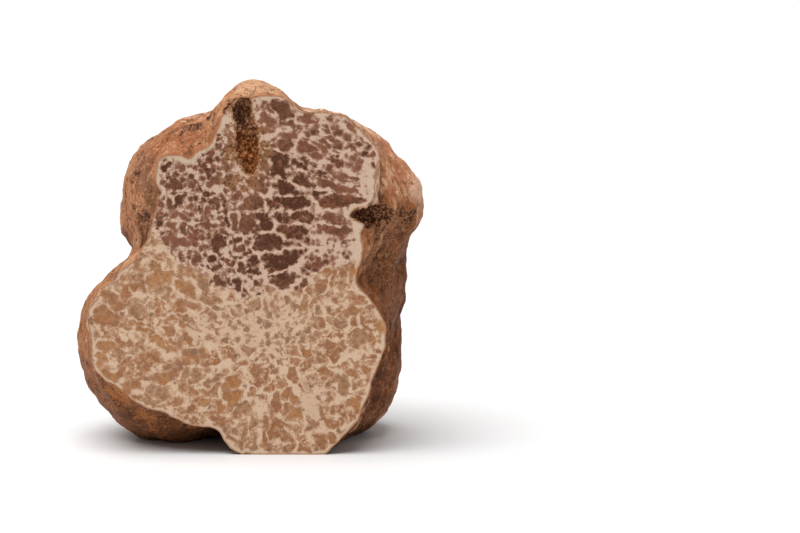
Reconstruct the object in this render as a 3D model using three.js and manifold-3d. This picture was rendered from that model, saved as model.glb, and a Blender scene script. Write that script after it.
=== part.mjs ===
// A bianchetto truffle cut through with a knife, standing on its own lobes with the cut face forward.
// The whole body is one solid: knobbly lobes grown into each other, one flat cut face, hollows that the
// knife has laid open, and the small flat spots that the truffle rests on.
// Millimetres. X runs along the cut face, Y back from it into the body, Z up from the resting plane.
// The origin ends up under the middle of the body's box, on the resting plane.

import * as THREE from "three";
import { mergeVertices } from "three/addons/utils/BufferGeometryUtils.js";
import Module from "manifold-3d";

const NAME = "bianchetto_truffle";
const SKIN_COLOUR = 0xa9764c;
const SKIN_ROUGHNESS = 0.75;

const CREASE = 3.4; // width over which one lobe runs into the next
const LUMP_SWAY = 1.7; // how far the rows of lumps wander, in radians
// Swells over the whole skin, broad ones and small knobs: height, and length as the radius of one wave.
const LUMPS = [
  { height: 0.6, length: 2.6 },
  { height: 0.4, length: 1.15 },
];

// The lobes as ellipsoids, placed from the cut face at y = 0: centre, then half-widths along X, Y and Z.
const LOBES = [
  // lower left
  { name: "left belly", at: [-12, 15, 14.2], half: [15.1, 16, 14.9] },
  { name: "left jowl", at: [-12.2, 4, 15.6], half: [10.8, 9, 8.7] },
  { name: "left shoulder", at: [-12.6, 3, 19.8], half: [10.6, 10, 8] },
  { name: "left waist", at: [-9, 5, 27.5], half: [8.6, 9, 5.2] },
  { name: "bridge", at: [-5, 3, 11], half: [7.6, 8, 6] },
  // lower right
  { name: "right shoulder", at: [8.8, 2, 17.8], half: [11.2, 9, 8.3] },
  { name: "front foot", at: [5.2, 4, 8.5], half: [9.6, 11, 8.6] },
  { name: "front toe", at: [5, 3, 4], half: [8.6, 7.5, 5.4] },
  { name: "front knee", at: [10, 2, 11.5], half: [7.2, 8, 8] },
  { name: "right haunch", at: [9, 18, 13.6], half: [12.5, 13, 13.8] },
  { name: "right heel", at: [12.6, 17, 8.6], half: [8.4, 10, 8.7] },
  // middle
  { name: "heart", at: [0, 9, 26], half: [13.5, 14, 17] },
  { name: "right waist", at: [9.5, 15, 23.5], half: [13.1, 12.5, 12.2] },
  { name: "right cheek", at: [7.5, 2, 30.2], half: [9.1, 7, 5.9] },
  // upper left
  { name: "left brow", at: [-5.6, 11.5, 39.3], half: [10.2, 13, 10.2] },
  { name: "left temple", at: [-9.3, 12.5, 38.5], half: [10.5, 12, 8] },
  { name: "left ear", at: [-9.8, 11.5, 33.6], half: [9.9, 11, 5.4] },
  { name: "left cheek", at: [-3.9, 2.5, 36], half: [8.2, 8, 8.2] },
  { name: "left knob", at: [-10.8, 1.2, 41.2], half: [2.7, 3.3, 2.6] },
  { name: "left jaw", at: [-9.4, 2.5, 34.3], half: [3.5, 6, 3] },
  // upper right
  { name: "crown", at: [0.1, 5, 45.3], half: [6.6, 8, 9.4] },
  { name: "right brow", at: [8.1, 3, 42.2], half: [10.6, 9, 8.1] },
  { name: "right ear root", at: [10, 12, 40.1], half: [12, 10, 8.8] },
  { name: "right ear", at: [12.9, 12, 35.4], half: [12.4, 12, 7.9] },
  // back
  { name: "upper back", at: [1, 22, 35], half: [14, 12.5, 12] },
  { name: "nape", at: [-4, 22, 25], half: [15, 13, 11] },
  { name: "lower back", at: [-2, 24, 15], half: [15, 12, 15.2] },
];

// Hollows that the knife has laid open along the cut face, as ellipsoids that lean by some degrees.
const HOLLOWS = [
  { name: "crevice", at: [-0.5, 0, 45.3], half: [1.45, 1.1, 4.6], lean: -7 },
  { name: "mouth of the crevice", at: [-1.1, 0, 49.5], half: [1.35, 1.6, 2.7], lean: 4 },
  { name: "right pocket", at: [17.2, 0, 35.1], half: [2.6, 2.2, 1.1], lean: 10 },
  { name: "crease by the knob", at: [-9, 0, 45.3], half: [1.3, 1.5, 2.3], lean: -10 },
  { name: "crease under the knob", at: [-14.5, 0, 38.6], half: [1.9, 1.6, 0.9], lean: 10 },
];

const CORE = new THREE.Vector3(1, 9, 24); // a point inside that every bit of skin faces
const REACH = 60; // farther from the core than any skin
const SKIN_DETAIL = 23; // cuts along each edge of the icosahedron that becomes the skin
const STEPS = 90; // steps of each walk from outside in to the skin
const CAUTION = 0.7; // share of the estimated distance that one step takes
const RELAX = 0.5; // how far each point of the skin moves towards its neighbours in one pass
const RELAX_PASSES = 2;
const KNIFE = 80; // side of the blocks that make the flat cuts
const HOLLOW_SIDES = 20;
const HOLLOW_RINGS = 14;
const WELD = 1e-3; // points of a solid that are closer than this are one point
const BALL_WELD = 1e-5; // the same on the ball of radius 1

// Distance from a point to one lobe, negative inside.
function lobeDistance(point, { at, half }) {
  const x = point.x - at[0];
  const y = point.y - at[1];
  const z = point.z - at[2];
  const reach = Math.hypot(x / half[0], y / half[1], z / half[2]);
  const slope = Math.hypot(x / half[0] ** 2, y / half[1] ** 2, z / half[2] ** 2);
  return slope > 0 ? (reach * (reach - 1)) / slope : -Math.min(...half);
}

// The smaller of two distances, with the crease between them rounded.
function blend(a, b) {
  const near = Math.max(CREASE - Math.abs(a - b), 0) / CREASE;
  return Math.min(a, b) - (near * near * CREASE) / 4;
}

// One set of swells and dips, from waves along the three axes that bend each other.
function lump({ x, y, z }, { height, length }) {
  const wave = (along, across) => {
    const sway = LUMP_SWAY * Math.sin(across / length / 2);
    return Math.sin(along / length + sway);
  };
  return height * wave(x, z) * wave(y, x) * wave(z, y);
}

function skinDistance(point) {
  const distances = LOBES.map((lobe) => lobeDistance(point, lobe));
  return LUMPS.reduce((distance, size) => distance - lump(point, size), distances.reduce(blend));
}

// Walks in from outside along one ray until it meets the skin.
function skinAlong(direction) {
  const point = new THREE.Vector3();
  let reach = REACH;
  for (let step = 0; step < STEPS; step += 1) {
    point.copy(direction).multiplyScalar(reach).add(CORE);
    reach -= CAUTION * skinDistance(point);
  }
  return point;
}

// A sphere of even triangles, each point shared by all the triangles that meet there.
function ball() {
  const geometry = new THREE.IcosahedronGeometry(1, SKIN_DETAIL);
  geometry.deleteAttribute("normal");
  geometry.deleteAttribute("uv");
  return mergeVertices(geometry, BALL_WELD);
}

// Moves every point part of the way to the middle of its neighbours, which evens out sharp creases.
function relax(points, triangles) {
  const sums = points.map(() => new THREE.Vector3());
  const counts = points.map(() => 0);
  triangles.forEach((corner, i) => {
    const next = i % 3 === 2 ? triangles[i - 2] : triangles[i + 1];
    sums[corner].add(points[next]);
    counts[corner] += 1;
  });
  return points.map((point, i) => point.clone().lerp(sums[i].divideScalar(counts[i]), RELAX));
}

function wholeTruffle() {
  const geometry = ball();
  const positions = geometry.getAttribute("position");
  const triangles = Array.from(geometry.index.array);
  const directions = Array.from({ length: positions.count }, (_, i) => {
    return new THREE.Vector3().fromBufferAttribute(positions, i).normalize();
  });
  let points = directions.map(skinAlong);
  for (let pass = 0; pass < RELAX_PASSES; pass += 1) {
    points = relax(points, triangles);
  }
  points.forEach((point, i) => positions.setXYZ(i, ...point.toArray()));
  return geometry;
}

// The slice that the knife took, as a block in front of y = 0.
function slice() {
  return new THREE.BoxGeometry(KNIFE, KNIFE, KNIFE).translate(0, -KNIFE / 2, KNIFE / 4);
}

// All that would be below the resting plane, as a block under z = 0.
function ground() {
  return new THREE.BoxGeometry(KNIFE, KNIFE, KNIFE).translate(0, 0, -KNIFE / 2);
}

function hollow({ at, half, lean }) {
  const geometry = new THREE.SphereGeometry(1, HOLLOW_SIDES, HOLLOW_RINGS);
  return geometry.scale(...half).rotateY(THREE.MathUtils.degToRad(lean)).translate(...at);
}

const wasm = await Module();
wasm.setup();

function solidFrom(geometry) {
  geometry.deleteAttribute("normal");
  geometry.deleteAttribute("uv");
  const merged = mergeVertices(geometry, WELD);
  const vertProperties = merged.getAttribute("position").array;
  const triVerts = new Uint32Array(merged.index.array);
  return new wasm.Manifold(new wasm.Mesh({ numProp: 3, vertProperties, triVerts }));
}

function geometryFrom(solid) {
  const { vertProperties, triVerts } = solid.getMesh();
  const geometry = new THREE.BufferGeometry();
  geometry.setAttribute("position", new THREE.BufferAttribute(vertProperties, 3));
  geometry.setIndex(new THREE.BufferAttribute(triVerts, 1));
  return geometry;
}

function cutTruffle() {
  const cuts = [slice(), ground(), ...HOLLOWS.map(hollow)].map(solidFrom);
  const body = cuts.reduce((solid, cut) => solid.subtract(cut), solidFrom(wholeTruffle()));
  return geometryFrom(body);
}

// Moves the middle of the body's box over the origin. Its height is already right.
function centred(geometry) {
  geometry.computeBoundingBox();
  const middle = geometry.boundingBox.getCenter(new THREE.Vector3());
  return geometry.translate(-middle.x, -middle.y, 0);
}

const truffle = new THREE.Mesh(
  centred(cutTruffle()),
  new THREE.MeshStandardMaterial({ color: SKIN_COLOUR, roughness: SKIN_ROUGHNESS, metalness: 0 }),
);
truffle.name = NAME;

const part = new THREE.Group();
part.add(truffle);

export default part;
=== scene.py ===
"""A bianchetto truffle that a knife has cut through, standing on a pale studio floor.

The truffle is one mesh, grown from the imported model: its skin is kneaded, wrinkled and pitted, then a
knife block cuts the flat face, and the face and the skin each get a finish of their own.
"""

import math
from types import SimpleNamespace

import bpy
import numpy as np
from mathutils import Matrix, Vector, noise
from mathutils.kdtree import KDTree


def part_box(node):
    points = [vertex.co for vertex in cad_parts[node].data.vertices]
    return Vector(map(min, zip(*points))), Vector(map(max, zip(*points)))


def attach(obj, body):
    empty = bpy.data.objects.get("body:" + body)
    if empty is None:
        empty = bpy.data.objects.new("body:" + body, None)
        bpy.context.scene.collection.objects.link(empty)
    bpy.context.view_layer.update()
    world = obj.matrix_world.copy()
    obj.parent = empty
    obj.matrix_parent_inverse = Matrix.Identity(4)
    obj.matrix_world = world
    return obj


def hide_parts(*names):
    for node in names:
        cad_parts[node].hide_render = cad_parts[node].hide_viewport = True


bl_info = {
    "name": "Cut Bianchetto Truffle",
    "version": (1, 0, 0),
    "blender": (4, 5, 0),
    "location": "3D View > Sidebar > Truffle",
    "description": "Models a cut bianchetto truffle and its studio",
    "category": "Object",
}

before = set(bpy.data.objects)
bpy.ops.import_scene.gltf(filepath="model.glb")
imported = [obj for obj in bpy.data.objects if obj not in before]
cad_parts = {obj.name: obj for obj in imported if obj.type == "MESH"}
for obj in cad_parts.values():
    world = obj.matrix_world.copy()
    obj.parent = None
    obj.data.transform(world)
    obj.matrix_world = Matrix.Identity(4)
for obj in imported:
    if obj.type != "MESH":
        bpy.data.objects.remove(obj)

NODE = "bianchetto_truffle"
BODY = "root"
MM = 0.001

LOW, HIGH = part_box(NODE)
MIDDLE = (LOW + HIGH) / 2
CUT = LOW.y  # the plane of the cut face
FACE = CUT / MM  # the same in millimetres, the unit of every place below that isn't times MM

RIM = "rim"  # attribute: how far a point of the cut face is from its rim, in millimetres
HOLLOW = "hollow"  # attribute: how far a point of the skin lies in a broad valley, in millimetres
GROOVE = "groove"  # attribute: how far it lies in a fine groove, in millimetres
SOIL = "soil"  # attribute: how thick the soil lies
CAKED = "caked"  # vertex group: where soil is caked on
CREASED = "creased"  # vertex group: where the skin is drawn into fine creases along the cut edge
LIP = "lip"  # vertex group: the lip that the skin forms along the upper right of the cut edge
FOLD = "fold"  # vertex group: the fold behind that lip


class TruffleSizes(bpy.types.PropertyGroup):
    """Sizes of the truffle's surface."""

    mesh_size: bpy.props.FloatProperty(
        name="Mesh size",
        description="Side of one face of the skin",
        default=0.36 * MM,
        unit="LENGTH",
    )
    knob_height: bpy.props.FloatProperty(
        name="Knob height",
        description="Height of the broad knobs on the skin",
        default=1.0 * MM,
        unit="LENGTH",
    )
    wrinkle_height: bpy.props.FloatProperty(
        name="Wrinkle height",
        description="Height of the soft wrinkles all over the skin",
        default=0.5 * MM,
        unit="LENGTH",
    )
    crease_height: bpy.props.FloatProperty(
        name="Crease height",
        description="Height of the fine creases that run along the cut edge",
        default=2.2 * MM,
        unit="LENGTH",
    )
    lip_height: bpy.props.FloatProperty(
        name="Lip height",
        description="Height of the lip along the upper right of the cut edge",
        default=0.6 * MM,
        unit="LENGTH",
    )
    pit_depth: bpy.props.FloatProperty(
        name="Pit depth",
        description="Depth of the small pits in the skin",
        default=0.35 * MM,
        unit="LENGTH",
    )
    grain_height: bpy.props.FloatProperty(
        name="Grain height",
        description="Height of the fine grain of the skin",
        default=0.3 * MM,
        unit="LENGTH",
    )
    crumb_height: bpy.props.FloatProperty(
        name="Crumb height",
        description="Height of the crumbs of the caked soil",
        default=0.6 * MM,
        unit="LENGTH",
    )
    clod_height: bpy.props.FloatProperty(
        name="Clod height",
        description="Height of the broader clods of the caked soil",
        default=0.8 * MM,
        unit="LENGTH",
    )
    ripple_height: bpy.props.FloatProperty(
        name="Ripple height",
        description="Height of the ripples that the knife leaves on the cut face",
        default=0.12 * MM,
        unit="LENGTH",
    )


class TruffleColours(bpy.types.PropertyGroup):
    """Main colours of the truffle."""

    skin: bpy.props.FloatVectorProperty(
        name="Skin",
        description="Ochre skin",
        default=(0.43, 0.18, 0.082),
        subtype="COLOR",
    )
    blotches: bpy.props.FloatVectorProperty(
        name="Blotches",
        description="Broad brown blotches of the skin",
        default=(0.27, 0.095, 0.04),
        subtype="COLOR",
    )
    dark_soil: bpy.props.FloatVectorProperty(
        name="Dark soil",
        description="Soil between its crumbs",
        default=(0.075, 0.021, 0.008),
        subtype="COLOR",
    )
    pale_soil: bpy.props.FloatVectorProperty(
        name="Pale soil",
        description="Crumbs of the soil",
        default=(0.34, 0.16, 0.075),
        subtype="COLOR",
    )
    dark_ripe_cells: bpy.props.FloatVectorProperty(
        name="Dark ripe cells",
        description="Darkest cells of the upper lobe",
        default=(0.08, 0.027, 0.013),
        subtype="COLOR",
    )
    pale_ripe_cells: bpy.props.FloatVectorProperty(
        name="Pale ripe cells",
        description="Palest cells of the upper lobe",
        default=(0.28, 0.115, 0.062),
        subtype="COLOR",
    )
    ripe_veins: bpy.props.FloatVectorProperty(
        name="Ripe veins",
        description="Veins between the cells of the upper lobe",
        default=(0.62, 0.43, 0.32),
        subtype="COLOR",
    )
    dark_young_cells: bpy.props.FloatVectorProperty(
        name="Dark young cells",
        description="Brownest cells of the lower lobe",
        default=(0.33, 0.14, 0.055),
        subtype="COLOR",
    )
    pale_young_cells: bpy.props.FloatVectorProperty(
        name="Pale young cells",
        description="Most golden cells of the lower lobe",
        default=(0.53, 0.245, 0.09),
        subtype="COLOR",
    )
    young_veins: bpy.props.FloatVectorProperty(
        name="Young veins",
        description="Veins between the cells of the lower lobe",
        default=(0.66, 0.465, 0.325),
        subtype="COLOR",
    )
    margin: bpy.props.FloatVectorProperty(
        name="Margin",
        description="Pale band of flesh under the skin",
        default=(0.62, 0.46, 0.33),
        subtype="COLOR",
    )


class StudioSettings(bpy.types.PropertyGroup):
    """The studio around the truffle."""

    floor_size: bpy.props.FloatProperty(
        name="Floor size",
        description="Width of the floor",
        default=8.0,
        unit="LENGTH",
    )
    floor_colour: bpy.props.FloatVectorProperty(
        name="Floor",
        description="Pale floor",
        default=(0.76, 0.76, 0.76),
        subtype="COLOR",
    )
    sky_strength: bpy.props.FloatProperty(
        name="Sky",
        description="Strength of the light from all sides",
        default=0.32,
    )
    lamp_strength: bpy.props.FloatProperty(
        name="Lamp",
        description="Strength of the large lamp overhead",
        default=3.85,
    )


# Shader expressions


class Value:
    """A socket that takes part in sums, each of which adds a Math node."""

    def __init__(self, finish, socket):
        self.finish = finish
        self.socket = socket

    def __add__(self, other):
        return self.finish.math("ADD", self, other)

    def __radd__(self, other):
        return self.finish.math("ADD", other, self)

    def __sub__(self, other):
        return self.finish.math("SUBTRACT", self, other)

    def __rsub__(self, other):
        return self.finish.math("SUBTRACT", other, self)

    def __mul__(self, other):
        return self.finish.math("MULTIPLY", self, other)

    def __rmul__(self, other):
        return self.finish.math("MULTIPLY", other, self)


class Finish:
    """A material and the nodes it is made of."""

    def __init__(self, name):
        self.material = bpy.data.materials.new(name)
        self.material.use_nodes = True
        self.tree = self.material.node_tree
        self.shader = self.tree.nodes["Principled BSDF"]

    def add(self, kind, settings=None, inputs=None, output=0):
        """A new node with its settings, then its sockets' values or links. Returns one of its outputs."""
        node = self.tree.nodes.new(kind)
        for name, value in (settings or {}).items():
            setattr(node, name, value)
        for socket, value in (inputs or {}).items():
            self.feed(node.inputs[socket], value)
        return Value(self, node.outputs[output])

    def feed(self, socket, value):
        """Links a value to a socket, or sets the socket to a number, a colour or a vector."""
        if isinstance(value, Value):
            self.tree.links.new(value.socket, socket)
        elif hasattr(value, "__len__") and len(value) == 3 and socket.type == "RGBA":
            socket.default_value = (*value, 1.0)
        else:
            socket.default_value = value

    def feeds(self, **sockets):
        """Feeds the shader's own sockets: base_color feeds Base Color, and so on."""
        for name, value in sockets.items():
            self.feed(self.shader.inputs[name.replace("_", " ").title().replace("Ior", "IOR")], value)

    def math(self, operation, *values):
        return self.add("ShaderNodeMath", {"operation": operation}, dict(enumerate(values)))

    def largest(self, first, *others):
        for other in others:
            first = self.math("MAXIMUM", first, other)
        return first

    def smallest(self, first, *others):
        for other in others:
            first = self.math("MINIMUM", first, other)
        return first

    def vector(self, operation, *values):
        output = "Value" if operation in ("LENGTH", "DOT_PRODUCT", "DISTANCE") else "Vector"
        return self.add("ShaderNodeVectorMath", {"operation": operation}, dict(enumerate(values)), output)

    def scaled(self, vector, factor):
        return self.add("ShaderNodeVectorMath", {"operation": "SCALE"}, {"Vector": vector, "Scale": factor})

    def parts(self, vector):
        """The X, Y and Z of a vector."""
        first = self.add("ShaderNodeSeparateXYZ", None, {"Vector": vector})
        return [Value(self, socket) for socket in first.socket.node.outputs]

    def joined(self, x, y, z):
        return self.add("ShaderNodeCombineXYZ", None, {"X": x, "Y": y, "Z": z})

    def mix(self, first, second, share):
        """From one colour to the other as share goes from 0 to 1."""
        settings = {"data_type": "RGBA", "clamp_factor": True}
        return self.add("ShaderNodeMix", settings, {0: share, 6: first, 7: second}, 2)

    def step(self, value, start, end, most=1.0):
        """Rises smoothly from 0 to the most while value goes from start to end."""
        inputs = {"Value": value, "From Min": start, "From Max": end, "To Max": most}
        return self.add("ShaderNodeMapRange", {"interpolation_type": "SMOOTHSTEP"}, inputs)

    def lay(self, under, over, value, start, end, most=1.0):
        """Lays one colour over another where value passes from start to end."""
        return self.mix(under, over, self.step(value, start, end, most))

    def place(self):
        """Where a point is, in millimetres."""
        return self.scaled(self.add("ShaderNodeTexCoord", output="Object"), 1 / MM)

    def noise(self, place, size, detail, roughness, seed, output=0):
        inputs = {"Scale": 1 / size, "Detail": detail, "Roughness": roughness, "W": seed, "Vector": place}
        return self.add("ShaderNodeTexNoise", {"noise_dimensions": "4D"}, inputs, output)

    def uneven(self, place, size, detail, roughness, seed=0.0):
        """A noise that goes up and down around 0."""
        return self.noise(place, size, detail, roughness, seed) - 0.5

    def wander(self, place, size, detail, roughness, seed=0.0):
        """A vector that points this way and that."""
        colour = self.noise(place, size, detail, roughness, seed, "Color")
        return self.vector("SUBTRACT", colour, (0.5, 0.5, 0.5))

    def cells(self, place, size, feature, output):
        settings = {"feature": feature, "voronoi_dimensions": "2D"}
        return self.add("ShaderNodeTexVoronoi", settings, {"Vector": place, "Scale": 1 / size}, output)

    def attribute(self, name):
        settings = {"attribute_name": name, "attribute_type": "GEOMETRY"}
        return self.add("ShaderNodeAttribute", settings, output="Fac")

    def bumps(self, height, strength, distance):
        inputs = {"Height": height, "Strength": strength, "Distance": distance}
        return self.add("ShaderNodeBump", None, inputs)

    def near(self, place, centre, half):
        """1 at the centre of an ellipsoid, 0 at its surface, less outside."""
        away = self.vector("DIVIDE", self.vector("SUBTRACT", place, centre), half)
        return 1 - self.vector("LENGTH", away)

    def along(self, place, start, end, width):
        """1 on the line between two places on the cut, 0 at a width away from it, less outside."""
        way = Vector((end[0] - start[0], 0.0, end[1] - start[1]))
        from_start = self.vector("SUBTRACT", place, (start[0], FACE, start[1]))
        share = self.vector("DOT_PRODUCT", from_start, way / way.length_squared)
        share = self.smallest(self.largest(share, 0.0), 1.0)
        away = self.vector("SUBTRACT", from_start, self.scaled(way, share))
        return 1 - self.vector("LENGTH", away) * (1 / width)


# Modelling helpers


def only(piece):
    """Leaves this piece alone selected and active."""
    bpy.ops.object.select_all(action="DESELECT")
    piece.select_set(True)
    bpy.context.view_layer.objects.active = piece


def shape(piece, kind, **settings):
    """Adds one modifier and applies it."""
    only(piece)
    modifier = piece.modifiers.new(kind.title(), kind)
    for name, value in settings.items():
        setattr(modifier, name, value)
    bpy.ops.object.modifier_apply(modifier=modifier.name)


def select_faces(piece, test):
    """Selects the faces whose middle and normal pass the test."""
    only(piece)
    for item in (*piece.data.vertices, *piece.data.edges):
        item.select = False
    for face in piece.data.polygons:
        face.select = test(face)


def everything():
    bpy.ops.mesh.select_all(action="SELECT")


def edit(piece, *steps):
    """Runs operators on what is selected in edit mode."""
    only(piece)
    bpy.ops.object.mode_set(mode="EDIT")
    bpy.ops.mesh.select_mode(type="FACE")
    for step in steps:
        step()
    bpy.ops.object.mode_set(mode="OBJECT")


def relief(piece, name, kind, height, stretch=(1, 1, 1), where="", **settings):
    """Raises and lowers the surface by a texture, which stretch draws out along the axes."""
    texture = bpy.data.textures.new(name, kind)
    for key, value in settings.items():
        setattr(texture, key, value)
    guide = bpy.data.objects.new(name, None)
    guide.scale = stretch
    bpy.context.scene.collection.objects.link(guide)
    bpy.context.view_layer.update()
    shape(
        piece,
        "DISPLACE",
        texture=texture,
        texture_coords="OBJECT",
        texture_coords_object=guide,
        strength=height,
        mid_level=0.5,
        vertex_group=where,
    )
    bpy.data.objects.remove(guide)
    bpy.data.textures.remove(texture)


# The truffle


CUT_SPARE = 3 * MM  # how far the body runs on past the cut face until the knife takes it off
FLOOR_SPARE = 1.5 * MM  # how far it runs on below the floor until its resting spots are levelled
FLATNESS = 0.05 * MM  # how far from a flat's level a face of that flat may lie
DOUBLES = 1e-6  # points closer than this, in metres, are one


def uncut_body(name):
    """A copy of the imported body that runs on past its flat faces."""
    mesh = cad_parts[NODE].data.copy()
    mesh.name = name
    mesh.materials.clear()
    piece = bpy.data.objects.new(name, mesh)
    bpy.context.scene.collection.objects.link(piece)
    edit(piece, everything, lambda: bpy.ops.mesh.remove_doubles(threshold=DOUBLES))
    flats = [
        (Vector((0, -1, 0)), CUT, CUT_SPARE),
        (Vector((0, 0, -1)), LOW.z, FLOOR_SPARE),
    ]
    for normal, level, spare in flats:
        axis = 1 if normal.y else 2
        select_faces(piece, lambda f: f.normal.dot(normal) > 0.99 and abs(f.center[axis] - level) < FLATNESS)
        move = {"value": normal * spare}
        edit(piece, lambda: bpy.ops.mesh.extrude_region_move(TRANSFORM_OT_translate=move))
    return piece


def knead(piece, sizes):
    """Gives the body a fine, even mesh and the relief of the skin."""
    shape(piece, "REMESH", mode="VOXEL", voxel_size=sizes.mesh_size)
    shape(piece, "SMOOTH", factor=0.5, iterations=7)
    weigh(piece, CREASED, creased)
    weigh(piece, LIP, lambda place: ridge_at(place, behind=0.6, width=0.7))
    weigh(piece, FOLD, lambda place: ridge_at(place, behind=2.3, width=0.9))
    relief(piece, "knobs", "CLOUDS", sizes.knob_height, noise_scale=5 * MM, noise_depth=1)
    wrinkles = {"noise_scale": 1.5 * MM, "noise_depth": 2}
    relief(piece, "wrinkles", "CLOUDS", sizes.wrinkle_height, (3, 1, 3), **wrinkles)
    creases = {"noise_scale": 0.8 * MM, "noise_depth": 1}
    relief(piece, "creases", "CLOUDS", sizes.crease_height, (8, 1, 8), CREASED, **creases)
    shape(piece, "DISPLACE", strength=sizes.lip_height, mid_level=0, vertex_group=LIP)
    shape(piece, "DISPLACE", strength=-sizes.lip_height, mid_level=0, vertex_group=FOLD)
    pits = {"noise_scale": 1.7 * MM, "distance_metric": "DISTANCE"}
    relief(piece, "pits", "VORONOI", sizes.pit_depth, (1.4, 1, 1.4), **pits)
    grain = {"noise_scale": 0.8 * MM, "noise_depth": 2}
    relief(piece, "grain", "CLOUDS", sizes.grain_height, (1.6, 1, 1.6), **grain)


def weigh(piece, name, weight):
    """A vertex group whose weights come from a function of the place in millimetres."""
    group = piece.vertex_groups.new(name=name)
    for vertex in piece.data.vertices:
        share = weight(vertex.co / MM)
        if share > 0:
            group.add([vertex.index], min(1.0, share), "REPLACE")


def creased(place):
    """How creased the skin is: most just behind the cut edge, on the right and at the lower left."""
    behind = place.y - FACE
    above_foot = min(1.0, max(0.0, (place.z - 9) / 7))
    left = (-8 - place.x) / 8 * above_foot if place.z < 30 else 0.0
    side = max((place.x - 1) / 5, 0.6 * left)
    return min(1.0, side) * (1 - behind / 8) * (0.8 + noise.noise(place * 0.3))


def ridge_at(place, behind, width):
    """1 on a ridge that runs some way behind the upper right of the cut edge, falling to 0 beside it."""
    sway = 0.7 * noise.noise(place * 0.25)
    away = (place.y - FACE - behind - sway) / width
    side = min(1.0, (place.x - 2) / 4) * min(1.0, (place.z - 36) / 4)
    return side * math.exp(-away * away)


# Where soil is caked on, as ellipsoids in millimetres: centre, half-widths, how thick it lies. One of them is
# partly painted shadow.
CREVICE = Vector((0.5, FACE, 45.2)), Vector((2.3, 2.6, 5.4))
CAKES = [
    (*CREVICE, 1.0),
    (Vector((-0.8, FACE, 49.6)), Vector((2, 3.2, 3)), 1.0),
    (Vector((18.4, FACE + 1, 35)), Vector((3.4, 4, 2)), 1.0),
    (Vector((21, FACE + 4, 33)), Vector((4.5, 7, 4)), 0.2),
    # partly painted shadow: soil laid dark at the root of the ear, where a neighbouring piece casts its
    # shadow
    (Vector((23, FACE + 8, 34.6)), Vector((2.2, 5, 1.6)), 0.6),
    (Vector((20.5, FACE + 5, 26)), Vector((5, 7, 8)), 0.14),
    (Vector((-5.2, FACE + 3.5, 49.6)), Vector((1.2, 1.5, 1)), 0.7),
    (Vector((-7.4, FACE + 4.5, 47.9)), Vector((1.6, 1.8, 0.9)), 0.6),
]
CAKED_DEPTH = 12 * MM  # farther behind the cut face, soil is too thin for a finer mesh
CAKED_THICKNESS = 0.22  # soil thicker than this gets a finer mesh for its crumbs


def soil_at(place):
    """How thick the soil lies at a place, and 0 or less where there is none."""
    ragged = noise.fractal(place * 0.9, 1.0, 2.0, 3)
    thickness = 0.9 * noise.noise(place * 0.3 + Vector((7, 3, 5))) + 0.5 * ragged - 0.5
    for centre, half, most in CAKES:
        reach = Vector([(place[i] - centre[i]) / half[i] for i in range(3)]).length
        thickness = max(thickness, most * min(1.0, 3.5 * (1 - reach) + 1.2 * ragged))
    return thickness


def thickly_caked(face):
    return face.center.y < CUT + CAKED_DEPTH and soil_at(face.center / MM) > CAKED_THICKNESS


def crumble(piece, sizes):
    """Gives the caked soil a finer mesh and its crumbs."""
    select_faces(piece, thickly_caked)
    edit(piece, lambda: bpy.ops.mesh.subdivide(number_cuts=2))
    weigh(piece, CAKED, soil_at)
    crumbs = {"noise_scale": 0.5 * MM, "distance_metric": "DISTANCE"}
    relief(piece, "crumbs", "VORONOI", sizes.crumb_height, where=CAKED, **crumbs)
    clods = {"noise_scale": 0.9 * MM, "noise_depth": 2}
    relief(piece, "clods", "CLOUDS", sizes.clod_height, where=CAKED, **clods)


KNIFE_WIDTH = 64 * MM  # wider and taller than the truffle
KNIFE_THICKNESS = 10 * MM  # more than what runs on past the cut face


def knife(sizes, flesh):
    """The block that the knife takes away, whose back face leaves the mesh of the cut face."""
    steps = round(KNIFE_WIDTH / sizes.mesh_size)
    bpy.ops.object.select_all(action="DESELECT")
    bpy.ops.mesh.primitive_grid_add(
        x_subdivisions=steps,
        y_subdivisions=steps,
        size=KNIFE_WIDTH,
        location=(0, CUT, MIDDLE.z),
        rotation=(math.radians(-90), 0, 0),
    )
    block = bpy.context.object
    bpy.ops.object.transform_apply(location=True, rotation=True, scale=True)
    relief(block, "ripples", "CLOUDS", sizes.ripple_height, noise_scale=3 * MM, noise_depth=2)
    move = {"value": (0, -KNIFE_THICKNESS, 0)}
    edit(
        block,
        everything,
        lambda: bpy.ops.mesh.extrude_region_move(TRANSFORM_OT_translate=move),
        everything,
        lambda: bpy.ops.mesh.normals_make_consistent(inside=False),
    )
    block.data.materials.append(flesh)
    return block


def cut(piece, block):
    """Takes the block off the body, then levels the spots that the truffle rests on."""
    shape(piece, "BOOLEAN", operation="DIFFERENCE", object=block, solver="MANIFOLD", material_mode="TRANSFER")
    bpy.data.objects.remove(block)
    floor = {"plane_co": (0, 0, 0), "plane_no": (0, 0, 1), "threshold": DOUBLES}
    edit(piece, everything, lambda: bpy.ops.mesh.bisect(use_fill=True, clear_inner=True, **floor))


SHARPEST = math.radians(50)  # edges that turn by more than this stay sharp


class TRUFFLE_OT_add_truffle(bpy.types.Operator):
    """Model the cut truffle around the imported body"""

    bl_idname = "truffle.add_truffle"
    bl_label = "Add Truffle"

    def execute(self, context):
        sizes = context.scene.truffle_sizes
        colours = context.scene.truffle_colours
        piece = uncut_body("truffle")
        piece.data.materials.append(Skin(colours).material)
        knead(piece, sizes)
        crumble(piece, sizes)
        cut(piece, knife(sizes, Flesh(colours).material))
        measure(piece)
        only(piece)
        bpy.ops.object.shade_smooth_by_angle(angle=SHARPEST)
        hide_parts(NODE)
        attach(piece, BODY)
        return {"FINISHED"}


def numbers(collection, name, width):
    """One property of a whole collection as an array, with a row for each item."""
    values = np.empty(len(collection) * width, np.float32)
    collection.foreach_get(name, values)
    return values.reshape(-1, width)


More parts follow.
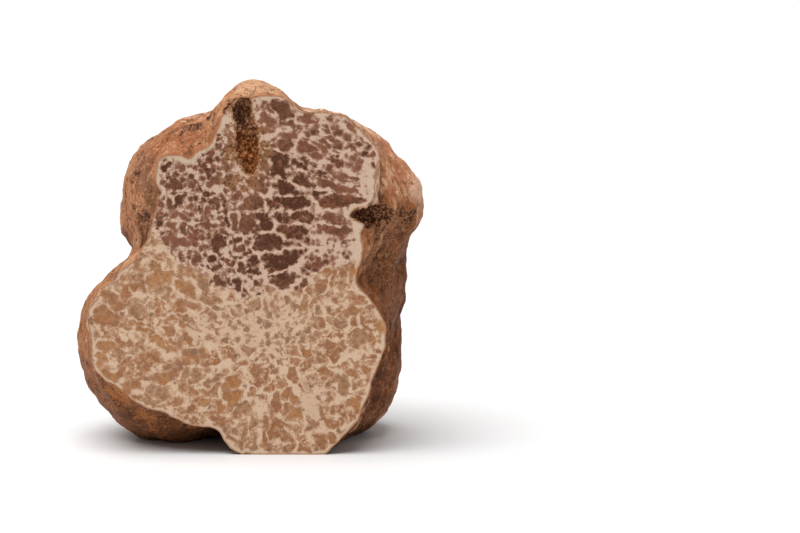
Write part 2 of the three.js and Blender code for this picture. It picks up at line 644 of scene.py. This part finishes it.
def depth_below(piece, passes):
    """How far each point lies below the same surface smoothed out, in millimetres."""
    smooth = piece.copy()
    smooth.data = piece.data.copy()
    bpy.context.scene.collection.objects.link(smooth)
    shape(smooth, "SMOOTH", factor=0.5, iterations=passes)
    away = numbers(smooth.data.vertices, "co", 3) - numbers(piece.data.vertices, "co", 3)
    depth = (away * numbers(smooth.data.vertices, "normal", 3)).sum(1) / MM
    bpy.data.objects.remove(smooth)
    return depth


def distance_from_rim(mesh):
    """How far each point of the flesh is from the edge between flesh and skin, in millimetres."""
    flesh_slot = mesh.materials.find("flesh")
    sides = [set(), set()]
    for face in mesh.polygons:
        sides[face.material_index == flesh_slot].update(face.vertices)
    rim = sides[0] & sides[1]
    tree = KDTree(len(rim))
    for i in rim:
        tree.insert(mesh.vertices[i].co, i)
    tree.balance()
    distance = np.zeros(len(mesh.vertices), np.float32)
    for i in sides[1]:
        distance[i] = tree.find(mesh.vertices[i].co)[2] / MM
    return distance


def measure(piece):
    """Keeps on the mesh what the finishes need to know about its shape."""
    found = {
        RIM: distance_from_rim(piece.data),
        HOLLOW: depth_below(piece, passes=120),
        GROOVE: depth_below(piece, passes=6),
        SOIL: [soil_at(vertex.co / MM) for vertex in piece.data.vertices],
    }
    for name, values in found.items():
        piece.data.attributes.new(name, "FLOAT", "POINT").data.foreach_set("value", values)


# The skin's finish

TONES = SimpleNamespace(
    # all over
    straw=(0.62, 0.34, 0.18),
    rust=(0.47, 0.14, 0.04),
    umber=(0.15, 0.06, 0.035),
    # top and sides
    crown=(0.62, 0.37, 0.22),
    cheek=(0.27, 0.085, 0.03),
    ear=(0.47, 0.20, 0.10),
    ear_highlight=(0.80, 0.53, 0.36),
    ear_dark=(0.34, 0.115, 0.048),
    edge_highlight=(0.82, 0.56, 0.40),
    olive=(0.15, 0.06, 0.026),
    mauve=(0.17, 0.075, 0.042),
    left_band=(0.34, 0.13, 0.05),
    # underside
    under=(0.17, 0.065, 0.028),
    under_left=(0.27, 0.105, 0.048),
    under_mauve=(0.085, 0.038, 0.026),
    under_orange=(0.40, 0.14, 0.045),
    under_gold=(0.42, 0.20, 0.08),
    under_black=(0.03, 0.012, 0.007),
    orange=(0.42, 0.16, 0.05),
    # valley at the right
    valley=(0.23, 0.078, 0.026),
    valley_orange=(0.46, 0.15, 0.045),
    valley_dark=(0.075, 0.024, 0.01),
    valley_gold=(0.42, 0.20, 0.09),
    valley_black=(0.04, 0.015, 0.007),
    # below the valley
    shaded_hip=(0.16, 0.044, 0.011),
    hip_red=(0.42, 0.135, 0.042),
    hip_dark=(0.06, 0.02, 0.009),
    hip_gold=(0.40, 0.19, 0.09),
    # fine marks
    fibre_dark=(0.10, 0.036, 0.017),
    fibre_pale=(0.70, 0.41, 0.23),
    grain_dark=(0.04, 0.016, 0.008),
    mottle_dark=(0.09, 0.032, 0.015),
    mottle_pale=(0.72, 0.44, 0.27),
    ridge_highlight=(0.70, 0.42, 0.24),
    speck_dark=(0.03, 0.011, 0.005),
    speck_pale=(0.72, 0.46, 0.28),
    # along the cut edge
    peeled=(0.74, 0.50, 0.36),
    fold_shade=(0.15, 0.055, 0.028),
    fold_highlight=(0.82, 0.56, 0.38),
    edge=(0.30, 0.10, 0.035),
    # soil
    dirt_and_shade=(0.09, 0.028, 0.01),
    rusty_dark=(0.14, 0.036, 0.008),
    rusty_pale=(0.50, 0.20, 0.07),
)


class Skin(Finish):
    """The skin's finish: coats of colour laid one over another, each where its own mask says."""

    def __init__(self, colours):
        super().__init__("skin")
        self.colours = colours
        self.here = self.place()
        self.x, self.y, self.z = self.parts(self.here)
        self.hollow = self.attribute(HOLLOW)
        self.groove = self.attribute(GROOVE)
        self.broad = self.uneven(self.here, 6, 3, 0.55)
        self.patches = self.uneven(self.here, 2.4, 4, 0.65, seed=3)
        self.other = self.uneven(self.here, 3.2, 4, 0.65, seed=5)
        self.mottle = self.uneven(self.here, 0.9, 4, 0.7, seed=21)
        drawn = self.vector("MULTIPLY", self.here, (0.22, 1, 0.22))
        self.fibres = self.uneven(drawn, 0.45, 3, 0.65, seed=7)
        self.specks = self.uneven(self.here, 0.35, 2, 0.7, seed=11)
        self.crumbs = self.uneven(self.here, 0.6, 3, 0.65, seed=15)
        self.grains = self.uneven(self.here, 0.22, 2, 0.6, seed=31)

        self.colour = colours.skin
        self.lay_blotches()
        self.lay_top_and_sides()
        self.lay_underside()
        self.lay_valley()
        self.lay_shaded_hip()
        self.lay_left_band()
        self.lay_fine_marks()
        self.lay_peel()
        self.lay_last_marks()
        self.lay_soil()
        height = 0.5 * self.fibres * self.clean + 0.8 * self.specks + 0.8 * self.mottle + 0.5 * self.crumbs
        self.feeds(
            base_color=self.colour,
            roughness=0.6,
            specular_ior_level=0.1,
            normal=self.bumps(height, 0.7, 0.3 * MM),
        )

    def coat(self, over, value, start, end, most=1.0):
        """Lays one more colour over the skin where value passes from start to end."""
        self.colour = self.lay(self.colour, over, value, start, end, most)

    def lay_blotches(self):
        self.coat(self.colours.blotches, self.broad + 0.6 * self.mottle, -0.06, 0.12)
        self.coat(TONES.straw, self.patches + 0.3 * self.broad, -0.02, 0.16, 0.75)
        self.coat(TONES.rust, self.other + 0.4 * self.mottle, 0.07, 0.18, 0.7)
        self.coat(TONES.umber, self.patches + 0.6 * self.other + 0.5 * self.mottle, -0.05, -0.2, 0.85)

    def lay_top_and_sides(self):
        """The crown, paler as painted highlight, the cheek at the left of it, darker as painted shade, the
        ear at the right, and painted highlights along their top edges.
        """
        # painted highlight: the crown is laid paler where the lamp overhead falls on it
        crown = self.near(self.here, (1, FACE + 4, 54), (8, 14, 4)) + 2 * self.broad
        self.coat(TONES.crown, crown, 0.0, 0.6, 0.65)
        # painted shade: the front of the top-left lobe, turned away from the lamp overhead, is laid darker
        cheek = self.near(self.here, (-11, FACE + 3, 45.5), (8, 6, 4)) + 2 * self.patches
        self.coat(TONES.cheek, cheek, 0.0, 0.5, 0.7)
        self.ear = self.near(self.here, (22, FACE + 9, 44), (10, 14, 10)) + 2 * self.broad
        self.ear = self.step(self.ear, 0.0, 0.4)
        self.colour = self.mix(self.colour, TONES.ear, self.ear * 0.8)
        # painted highlights: pale patches on the top edges of the ear and of the top-left lobe, where light
        # catches them
        edge_highlight = self.largest(
            self.near(self.here, (26, FACE + 9, 39), (4, 9, 5)),
            self.near(self.here, (20, FACE + 9, 49), (7, 9, 5)),
            self.near(self.here, (-11, FACE + 9, 50.5), (9, 7, 3)),
        )
        self.coat(TONES.edge_highlight, edge_highlight + 1.5 * self.patches + self.mottle, 0.1, 0.7, 0.65)
        # painted highlight: pale sheen patches on the ear
        self.coat(TONES.ear_highlight, self.ear * (self.patches + 0.9 * self.mottle), 0.02, 0.2, 0.6)
        self.coat(TONES.ear_dark, self.ear * (self.other + 0.3 * self.mottle), 0.02, 0.12, 0.7)
        blotched = 2.5 * self.patches + self.mottle
        # painted shade: darker olive-brown where the skin dips towards the cut edge at the left
        olive = self.near(self.here, (-13, FACE + 4, 36), (2.5, 7, 6)) + blotched
        self.coat(TONES.olive, olive, 0.0, 0.5, 0.8)
        mauve = self.near(self.here, (-15, FACE + 6, 40.5), (2.6, 7, 5)) + blotched
        self.coat(TONES.mauve, mauve, 0.0, 0.5, 0.75)

    def lay_underside(self):
        """The skin low down, darker both in its own colour and as painted shade, with its own mauve, orange,
        gold and black marks and its orange places at the left.
        """
        low = self.z + 12 * self.broad + 28 * self.patches + 14 * self.other + 12 * self.mottle
        self.low = self.step(low + self.largest(self.x - 8, 0.0), 17.0, 10.0)
        far_left = self.step(self.x + 10 * self.patches, -15.0, -21.0)
        under = self.mix(TONES.under, TONES.under_left, far_left)
        # darker low down: partly the skin's own colour, partly painted shade where the truffle shades its
        # underside
        self.colour = self.mix(self.colour, under, self.low * 0.9)
        self.coat(TONES.under_mauve, self.low * (self.patches + 0.5 * self.mottle), 0.02, 0.1, 0.85)
        orange = self.other + 0.5 * self.mottle + 0.05 * far_left
        self.coat(TONES.under_orange, self.low * orange, 0.07, 0.16, 0.85)
        self.coat(TONES.under_gold, self.low * (self.crumbs - 0.2 * self.patches), 0.03, 0.15, 0.75)
        self.coat(TONES.under_black, self.low * (self.specks + 0.5 * self.mottle), 0.03, 0.12, 0.85)
        orange = self.largest(
            self.near(self.here, (-18.8, FACE + 3, 8.8), (2.4, 5, 3.2)),
            self.near(self.here, (-14.7, FACE + 4, 5.3), (2.2, 5, 1.8)),
        )
        self.coat(TONES.orange, orange + 2 * self.patches + 1.5 * self.mottle, 0.1, 0.4, 0.85)

    def lay_valley(self):
        """The darker valley between the lobes at the right, with its orange, dark, gold and black flecks."""
        valley = self.near(self.here, (21, FACE + 8, 24), (8, 14, 16)) + 2 * self.other
        self.valley = self.step(valley, 0.0, 0.45)
        self.colour = self.mix(self.colour, TONES.valley, self.valley * 0.9)
        self.coat(TONES.valley_orange, self.valley * (self.other + 0.4 * self.mottle), 0.05, 0.15, 0.8)
        dark = self.patches + 0.7 * self.mottle + 0.08
        self.coat(TONES.valley_dark, self.valley * dark, 0.04, 0.16, 0.85)
        self.coat(TONES.valley_gold, self.valley * (self.crumbs - 0.3 * self.patches), 0.06, 0.18, 0.7)
        self.coat(TONES.valley_black, self.valley * (self.specks + 0.5 * self.mottle), 0.04, 0.14, 0.8)

    def lay_shaded_hip(self):
        """The dark red skin below the valley, whose darkness is painted shade beside the cut edge, with its
        own red, dark and gold marks.
        """
        shaded_hip = self.near(self.here, (20, FACE + 7, 13), (8, 13.5, 11)) + 1.5 * self.patches + self.mottle
        self.shaded_hip = self.step(shaded_hip, 0.0, 0.35)
        # painted shade: the skin below the valley is laid dark beside the cut edge
        self.colour = self.mix(self.colour, TONES.shaded_hip, self.shaded_hip * 0.9)
        self.coat(TONES.hip_red, self.shaded_hip * (self.other + 0.5 * self.mottle), -0.03, 0.1, 0.75)
        self.coat(TONES.hip_dark, self.shaded_hip * (self.patches + 0.8 * self.mottle), 0.0, 0.14, 0.75)
        self.coat(TONES.hip_gold, self.shaded_hip * (self.crumbs - 0.3 * self.patches), 0.04, 0.18, 0.6)

    def lay_left_band(self):
        band = self.near(self.here, (-23, FACE + 8, 22), (8, 15, 12)) + 1.5 * self.patches + self.mottle
        self.coat(TONES.left_band, band, 0.0, 0.4, 0.75)

    def lay_fine_marks(self):
        """Fibres, grains, mottling and painted shade in the fine grooves, fewer low down, in the valley and
        below it.
        """
        self.plain = 1 - 0.6 * self.ear
        self.clean = 1 - 0.85 * self.largest(self.low, self.valley, self.shaded_hip)
        self.peel = self.step(self.near(self.here, (15, FACE, 46), (13, 6, 12)), 0.0, 0.3)
        fibres = self.fibres * (self.plain + self.peel) * self.clean
        self.coat(TONES.fibre_dark, fibres, -0.03, -0.18, 0.4)
        self.coat(TONES.fibre_pale, self.fibres * (self.clean + self.peel), 0.05, 0.18, 0.3)
        self.coat(TONES.grain_dark, self.grains + 0.5 * self.patches + 0.4 * self.broad, -0.1, -0.2, 0.8)
        self.coat(TONES.mottle_dark, self.mottle * self.plain, -0.05, -0.18, 0.65)
        self.coat(TONES.mottle_pale, self.mottle * self.clean, 0.06, 0.18, 0.5)
        # painted shade: the fine grooves are laid darker
        self.coat(TONES.mottle_dark, (self.groove + 0.1 * self.specks) * self.clean, 0.015, 0.07, 0.6)

    def lay_peel(self):
        """The pale, peeled skin along the cut edge, and painted shade and painted highlight on the folds that
        run beside that edge.
        """
        behind = self.y - FACE + 2.4 * self.uneven(self.here, 3, 2, 0.5, seed=53)
        self.coat(TONES.peeled, self.peel * (1.4 - 0.3 * behind) + self.mottle, 0.3, 1.0, 0.65)
        left_peel = self.near(self.here, (-21, FACE, 23), (9, 6, 10))
        low_peel = self.near(self.here, (19, FACE, 12), (6, 6, 9))
        self.peel = self.peel + self.step(self.largest(left_peel, low_peel), 0.0, 0.4)
        # painted shade in the folds and painted highlight on their crests, in lines that follow the cut edge
        folds = self.math("SINE", behind * 5.5) * self.peel * self.step(behind, 5.0, 3.0)
        self.coat(TONES.fold_shade, folds, 0.2, 0.8, 0.75)
        self.coat(TONES.fold_highlight, 0 - folds * (1 - self.shaded_hip), 0.3, 0.9, 0.5)

    def lay_last_marks(self):
        """Painted highlights on the fine ridges, specks, the line along the cut edge, and soil with painted
        shade in the hollows.
        """
        # painted highlight: the fine ridges are laid paler
        self.coat(TONES.ridge_highlight, self.groove * self.clean, -0.015, -0.07, 0.4)
        specks = self.specks * self.plain + 0.3 * self.patches + 0.2 * self.mottle
        self.coat(TONES.speck_dark, specks, -0.08, -0.16, 0.8)
        self.coat(TONES.speck_pale, self.clean * (self.specks + 0.3 * self.mottle), 0.07, 0.18, 0.4)
        self.coat(TONES.edge, self.y - FACE + 2 * self.mottle + 0.8 * self.peel, 0.7, 0.1, 0.6)
        # soil and painted shade: the deeper the skin lies in a broad hollow, the darker it is laid
        dirt_and_shade = self.hollow + 0.7 * self.patches + 0.6 * self.specks + 0.6 * self.mottle
        self.coat(TONES.dirt_and_shade, dirt_and_shade, 0.15, 0.45, 0.75)

    def lay_soil(self):
        """The caked soil, which is rusty low in the crevice; its patch at the root of the ear is partly
        painted shadow.
        """
        soil = self.attribute(SOIL) + 1.4 * self.crumbs + 0.8 * self.specks + 0.6 * self.patches
        crevice = self.near(self.here, CREVICE[0], (3.5, 4, 8))
        rusty = self.step(crevice, 0.0, 0.1) * self.step(self.z + 8 * self.crumbs, 48.5, 45.0)
        dark = self.mix(self.colours.dark_soil, TONES.rusty_dark, rusty)
        pale = self.mix(self.colours.pale_soil, TONES.rusty_pale, rusty)
        earth = self.lay(dark, pale, self.specks + 0.5 * self.crumbs, -0.03, 0.13)
        self.coat(earth, soil, 0.1, 0.35)


# The flesh's finish

FLESH_TONES = SimpleNamespace(
    # ripe flesh of the upper lobe
    ripe_blush=(0.27, 0.09, 0.045),
    ripe_edge=(0.34, 0.18, 0.115),
    ripe_vein_edge=(0.38, 0.205, 0.135),
    ripe_vein_speck=(0.24, 0.115, 0.072),
    # young flesh of the lower lobe
    young_core=(0.25, 0.11, 0.058),
    young_grey=(0.33, 0.20, 0.12),
    young_in_cream=(0.23, 0.12, 0.07),
    young_spot=(0.27, 0.115, 0.06),
    young_vein_edge=(0.52, 0.305, 0.185),
    young_vein_blush=(0.44, 0.25, 0.15),
    haze=(0.55, 0.34, 0.215),
    blob=(0.25, 0.135, 0.078),
    # marks over both
    edge=(0.36, 0.16, 0.075),
    rust=(0.42, 0.19, 0.07),
    stain=(0.34, 0.155, 0.065),
    stain_core=(0.10, 0.034, 0.011),
    grain_dark=(0.05, 0.025, 0.014),
    grain_glint=(0.80, 0.60, 0.45),
)
HUB = Vector((5.4, 0, 17.0))  # the cells of the lower lobe radiate from here
KNURL = 0.95  # size of the round knurls that the cells' edges are made of
BLOB = 1.5  # size of the cells that hold one brown blob each
# Pale strips in the lower lobe: X and Z of both ends, and the half width.
STRIPS = (
    ((-9.0, 17.8), (1.5, 18.6), 0.6),
    ((1.5, 18.6), (5.0, 13.6), 1.0),
    ((5.0, 13.6), (11.0, 4.2), 1.1),
    ((-0.6, 15.8), (0.4, 8.0), 0.9),
    ((4.0, 18.0), (8.3, 22.4), 0.6),
    ((12.6, 13.4), (19.6, 16.4), 0.6),
)


class Flesh(Finish):
    """The finish of the cut face: ripe, dark cells in the upper lobe, young, tan ones in the lower."""

    def __init__(self, colours):
        super().__init__("flesh")
        self.colours = colours
        self.here = self.place()
        self.x, _, self.z = self.parts(self.here)
        self.rim = self.attribute(RIM)
        self.coarse = self.uneven(self.here, 1.4, 2, 0.5, seed=13)
        self.fine = self.uneven(self.here, 0.3, 3, 0.65, seed=17)
        self.broad = self.uneven(self.here, 5, 2, 0.5, seed=19)
        self.blush = self.uneven(self.here, 0.7, 3, 0.6, seed=37)
        self.sway = self.wander(self.here, 2.8, 2, 0.5)
        flutter = self.wander(self.here, 0.8, 1, 0.4, seed=5)
        both = self.vector("ADD", self.scaled(self.sway, 2.4), self.scaled(flutter, 0.5))
        self.bent = self.vector("ADD", self.here, both)
        flat = self.joined(self.x, self.z, 0.0)
        self.knurled = self.vector("ADD", flat, self.scaled(flutter, 0.4))
        self.knurl = 0.4 - self.cells(self.knurled, KNURL, "F1", "Distance") * KNURL
        pale = self.largest(
            self.near(self.here, (16.6, FACE, 31), (1.7, 3, 4)),
            self.near(self.here, (17.8, FACE, 40.5), (1.3, 3, 4)),
            self.near(self.here, (-8.4, FACE, 43.4), (2, 3, 1.6)),
            self.near(self.here, (-9.5, FACE, 8.3), (5, 3, 1.5)),
        )
        self.pale = self.step(pale + self.coarse, 0.0, 0.5)

        ripe_place = self.fanned(self.bent)
        ripe_net = self.net(ripe_place, 3.0, 0)
        border = 24.0 + (self.x - 3.5) * (self.x - 3.5) * 0.034
        level = self.z - border + 3.0 * (ripe_net.own[0] - 0.5) + 3 * self.coarse
        self.seam = self.step(self.math("ABSOLUTE", level), 0.9, 0.1)
        ripe, in_ripe_cell = self.ripe_flesh(ripe_place, ripe_net)
        young, in_young_cell = self.young_flesh()
        upper = self.step(level, -0.15, 0.15)
        sunk = in_ripe_cell * upper + in_young_cell * (1 - upper)
        self.feeds(
            base_color=self.marked(self.mix(young, ripe, upper), upper),
            roughness=0.55,
            specular_ior_level=0.12,
            normal=self.bumps(0 - sunk + 0.5 * self.fine, 0.4, 0.12 * MM),
        )

    def net(self, place, size, seed):
        """Cells: how far inside its cell a point is, in millimetres, and three numbers of the cell's own."""
        shifted = self.vector("ADD", place, (seed, seed, 0))
        nearest = self.cells(shifted, size, "F1", "Distance")
        next_nearest = self.cells(shifted, size, "F2", "Distance")
        own = self.parts(self.cells(shifted, size, "F1", "Color"))
        return SimpleNamespace(inside=(next_nearest - nearest) * size, own=own)

    def fanned(self, place):
        """The place drawn in on the right, so that the cells there are long and spread like a fan."""
        x, _, z = self.parts(place)
        right = self.math("SMOOTH_MAX", x - 3, 0.0, 4.0)
        middle = self.step(self.math("ABSOLUTE", z - 33.5), 9.0, 4.0)
        return self.joined(x - (0.25 + 0.35 * middle) * right, z + 0.03 * (z - 34) * right, 0.0)

    def radiating(self, place):
        """The place seen from the hub, and the same drawn in so that cells are long and grow outwards."""
        x, _, z = self.parts(self.vector("SUBTRACT", place, HUB))
        away = self.joined(x, z, 0.0)
        nearness = self.math("DIVIDE", 10.0, self.vector("LENGTH", away) + 8.0)
        return away, self.scaled(away, nearness + 0.3)

    def ripe_flesh(self, place, major):
        """The colour of the ripe flesh, and 1 inside its cells."""
        minor = self.net(place, 2.2, 7)
        left = self.step(self.x + 8 * self.broad, 6.0, -4.0)
        top = self.step(self.z + 8 * self.broad, 38.0, 44.0)
        margin = self.step(self.rim + 2.5 * self.coarse, 0.8, 0.1) + 0.7 * self.pale
        ragged = (0.9 + 0.45 * left) * self.knurl + 0.9 * self.coarse
        gap = self.step(self.z + 10 * self.broad, 31.0, 26.0)
        large = 0.8 * major.inside + ragged - 0.33 - 0.15 * gap - margin - 0.4 * self.seam
        split = self.step(self.largest(left, top) + 3 * self.broad, 0.6, -0.1)
        small = 0.8 * minor.inside + ragged - 0.17 + split
        cell = self.smallest(large, small) + (0.9 + 0.3 * left) * self.fine
        darkest = self.step(self.vector("DISTANCE", self.here, (6.0, FACE, 29)), 15.0, 5.0)
        tint = major.own[2] * 0.5 + minor.own[1] * 0.5 - 0.4 * darkest - 0.12 * top - 0.05
        tint = tint + 1.2 * self.fine + 0.9 * self.blush
        brown = self.mix(self.colours.dark_ripe_cells, self.colours.pale_ripe_cells, tint)
        brown = self.lay(brown, FLESH_TONES.ripe_blush, self.blush + 0.15 * major.own[1], 0.1, 0.24, 0.6)
        brown = self.lay(brown, FLESH_TONES.ripe_edge, cell + 0.8 * self.fine, 0.3, 0.0, 0.5)
        vein = self.lay(FLESH_TONES.ripe_vein_edge, self.colours.ripe_veins, cell, -0.05, -0.35)
        specks = self.fine + 0.5 * self.coarse + 0.09 * left
        vein = self.lay(vein, FLESH_TONES.ripe_vein_speck, specks, 0.06, 0.2, 0.7)
        inside = self.step(cell, -0.12, 0.14)
        return self.mix(vein, brown, inside), inside

    def creamy(self):
        """1 where the young flesh is mostly vein: its middle, a stripe below and the neck at the left."""
        middle = self.near(self.here, (1.5, FACE, 19), (15, 9, 6.5)) + 2.2 * self.coarse + self.broad
        stripe = self.near(self.here, (9.5, FACE, 7), (2.2, 9, 6)) + 2 * self.coarse
        neck = self.near(self.here, (-9, FACE, 30), (6, 9, 3.5)) + 2 * self.coarse
        return self.step(self.largest(middle, stripe, neck), 0.0, 0.8)

    def young_flesh(self):
        """The colour of the young flesh, and 1 inside its cells."""
        away, place = self.radiating(self.vector("ADD", self.bent, self.scaled(self.sway, 3.0)))
        towards = self.vector("NORMALIZE", away)
        ray = self.vector("ADD", self.scaled(towards, 7.0), self.scaled(away, 0.25))
        streak = self.uneven(ray, 1.0, 3, 0.6, seed=29)
        major = self.net(place, 1.7, 40)
        minor = self.net(place, 0.95, 47)
        cream = self.creamy()
        strip = self.largest(-1.0, *(self.along(self.bent, *strip) for strip in STRIPS))
        strip = self.step(strip + 4.5 * self.coarse + self.fine, -0.1, 1.0)
        thin = self.step(self.rim + self.coarse, 0.6, 0.1)
        ragged = 0.8 * self.knurl + 2.0 * self.coarse + 1.5 * streak + 1.8 * self.fine
        large = 1.2 * major.inside + ragged - 0.45 - thin - 0.45 * cream - 0.3 * self.seam - 0.8 * strip
        small = 1.5 * minor.inside + ragged - 0.3 - 0.4 * cream + 0.5 * self.step(self.broad, -0.1, 0.1)
        cell = self.smallest(large, small)
        tint = major.own[2] * 0.5 + minor.own[1] * 0.4 + 0.8 * self.fine + 1.8 * self.blush
        tint = tint + 0.3 * self.step(self.x, -14.0, -2.0)
        tan = self.mix(self.colours.pale_young_cells, self.colours.dark_young_cells, tint)
        tan = self.lay(tan, FLESH_TONES.young_core, cell + self.fine, 0.5, 0.15, 0.5)
        tan = self.lay(tan, FLESH_TONES.young_grey, major.own[0] + 0.8 * self.coarse, 0.62, 0.85, 0.6)
        tan = self.mix(tan, FLESH_TONES.young_in_cream, cream * 0.6)
        spots = self.knurl + 0.9 * self.coarse + 0.6 * self.fine + 0.3 * major.own[1]
        tan = self.lay(tan, FLESH_TONES.young_spot, spots, 0.16, 0.36, 0.6)
        vein = self.lay(FLESH_TONES.young_vein_edge, self.colours.young_veins, cell, -0.15, -0.6)
        vein = self.lay(vein, FLESH_TONES.young_vein_blush, self.blush, 0.05, 0.2, 0.6)
        inside = self.step(cell, -0.45, 0.4)
        colour = self.mix(vein, tan, inside)
        haze = self.uneven(self.here, 1.8, 4, 0.6, seed=43) + 0.25 * cream
        colour = self.lay(colour, FLESH_TONES.haze, haze, 0.0, 0.3, 0.35)
        blob = 0.7 - self.cells(self.knurled, BLOB, "F1", "Distance") * BLOB
        own = self.parts(self.cells(self.knurled, BLOB, "F1", "Color"))[0]
        blob = blob - 0.8 * own + 1.2 * self.coarse + self.fine + 0.3 * (cream - 1)
        return self.lay(colour, FLESH_TONES.blob, blob, 0.0, 0.25, 0.85), inside

    def marked(self, colour, upper):
        """The flesh with its pale margin, the line under the skin, stains of rust and soil, and grain whose
        pale specks are painted glints.
        """
        margin = self.rim + 2.5 * self.coarse - 3 * self.broad * upper - 0.8 * self.pale
        colour = self.lay(colour, self.colours.margin, margin, 0.6, 0.1, 0.75)
        colour = self.lay(colour, FLESH_TONES.edge, self.rim + 0.5 * self.fine, 0.3, 0.1, 0.8)
        rust = self.largest(
            self.near(self.here, (16.5, FACE, 26.9), (2.2, 3, 1)),
            self.near(self.here, (20.3, FACE, 19.2), (2.4, 3, 2.2)),
        )
        colour = self.lay(colour, FLESH_TONES.rust, rust + 1.2 * self.coarse + self.fine, 0.1, 0.7, 0.7)
        stain = self.near(self.here, CREVICE[0], (3.6, 4, 7.2)) + 2.2 * self.coarse + 2 * self.fine
        colour = self.lay(colour, FLESH_TONES.stain, stain, 0.05, 0.4, 0.85)
        colour = self.lay(colour, FLESH_TONES.stain_core, stain + 1.5 * self.fine, 0.45, 0.75, 0.9)
        grain = self.uneven(self.here, 0.16, 2, 0.6, seed=23)
        colour = self.lay(colour, FLESH_TONES.grain_dark, grain, 0.0, -0.25, 0.25)
        # painted glints: the pale specks of the grain
        return self.lay(colour, FLESH_TONES.grain_glint, grain, 0.05, 0.3, 0.2)


# The studio


ELEVATION = math.radians(6.5)  # how far the camera looks down
DISTANCE = 322 * MM  # from the camera to what it aims at
LENS = 100  # in millimetres, on a sensor of 36
AIM = Vector((22.55 * MM, CUT, 27.7 * MM))
LAMP = Vector((-0.2, -0.18, 0.96))  # where the lamp stands, seen from the truffle
LAMP_ANGLE = math.radians(60)  # how large it looks


def add_floor(settings):
    """A floor that slopes up far behind the truffle."""
    bpy.ops.object.select_all(action="DESELECT")
    bpy.ops.mesh.primitive_plane_add(size=settings.floor_size, location=(0, 0, 0))
    floor = bpy.context.object
    floor.name = "floor"
    back = settings.floor_size / 2
    rise = {"value": (0, back / 2, back / 2)}
    only(floor)
    bpy.ops.object.mode_set(mode="EDIT")
    bpy.ops.mesh.select_mode(type="EDGE")
    bpy.ops.mesh.select_all(action="DESELECT")
    bpy.ops.object.mode_set(mode="OBJECT")
    for edge in floor.data.edges:
        edge.select = all(floor.data.vertices[i].co.y > back - MM for i in edge.vertices)
    bpy.ops.object.mode_set(mode="EDIT")
    bpy.ops.mesh.extrude_region_move(TRANSFORM_OT_translate=rise)
    bpy.ops.object.mode_set(mode="OBJECT")
    finish = Finish("floor")
    finish.feeds(base_color=settings.floor_colour, roughness=0.6)
    floor.data.materials.append(finish.material)


def add_light(settings):
    """White light from all sides and one large, soft lamp overhead."""
    world = bpy.data.worlds.new("studio")
    world.use_nodes = True
    background = world.node_tree.nodes["Background"]
    background.inputs["Color"].default_value = (1, 1, 1, 1)
    background.inputs["Strength"].default_value = settings.sky_strength
    bpy.context.scene.world = world
    lamp = bpy.data.lights.new("lamp", "SUN")
    lamp.angle = LAMP_ANGLE
    lamp.energy = settings.lamp_strength
    stand = bpy.data.objects.new("lamp", lamp)
    stand.location = LAMP
    stand.rotation_euler = (-LAMP).to_track_quat("-Z", "Y").to_euler()
    bpy.context.scene.collection.objects.link(stand)


def add_camera():
    camera = bpy.data.cameras.new("camera")
    camera.lens = LENS
    camera.sensor_width = 36
    camera.clip_start = 0.01
    stand = bpy.data.objects.new("camera", camera)
    away = Vector((0, -math.cos(ELEVATION), math.sin(ELEVATION)))
    stand.location = AIM + away * DISTANCE
    stand.rotation_euler = (-away).to_track_quat("-Z", "Y").to_euler()
    bpy.context.scene.collection.objects.link(stand)
    bpy.context.scene.camera = stand


class TRUFFLE_OT_add_stage(bpy.types.Operator):
    """Set up the floor, the light and the camera"""

    bl_idname = "truffle.add_stage"
    bl_label = "Add Stage"

    def execute(self, context):
        settings = context.scene.truffle_studio
        add_floor(settings)
        add_light(settings)
        add_camera()
        context.scene.view_settings.view_transform = "Standard"
        return {"FINISHED"}


class TRUFFLE_PT_panel(bpy.types.Panel):
    """The truffle's operators and settings"""

    bl_label = "Truffle"
    bl_space_type = "VIEW_3D"
    bl_region_type = "UI"
    bl_category = "Truffle"

    def draw(self, context):
        for operator in OPERATORS:
            self.layout.operator(operator.bl_idname)
        for group_name, group in GROUPS.items():
            for name in group.__annotations__:
                self.layout.prop(getattr(context.scene, group_name), name)


OPERATORS = (TRUFFLE_OT_add_truffle, TRUFFLE_OT_add_stage)
GROUPS = {
    "truffle_sizes": TruffleSizes,
    "truffle_colours": TruffleColours,
    "truffle_studio": StudioSettings,
}
CLASSES = (*GROUPS.values(), *OPERATORS, TRUFFLE_PT_panel)


def register():
    for cls in CLASSES:
        bpy.utils.register_class(cls)
    for name, group in GROUPS.items():
        setattr(bpy.types.Scene, name, bpy.props.PointerProperty(type=group))


def unregister():
    for name in GROUPS:
        delattr(bpy.types.Scene, name)
    for cls in reversed(CLASSES):
        bpy.utils.unregister_class(cls)


def main():
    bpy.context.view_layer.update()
    register()
    bpy.ops.truffle.add_truffle()
    bpy.ops.truffle.add_stage()


if __name__ == "__main__":
    main()
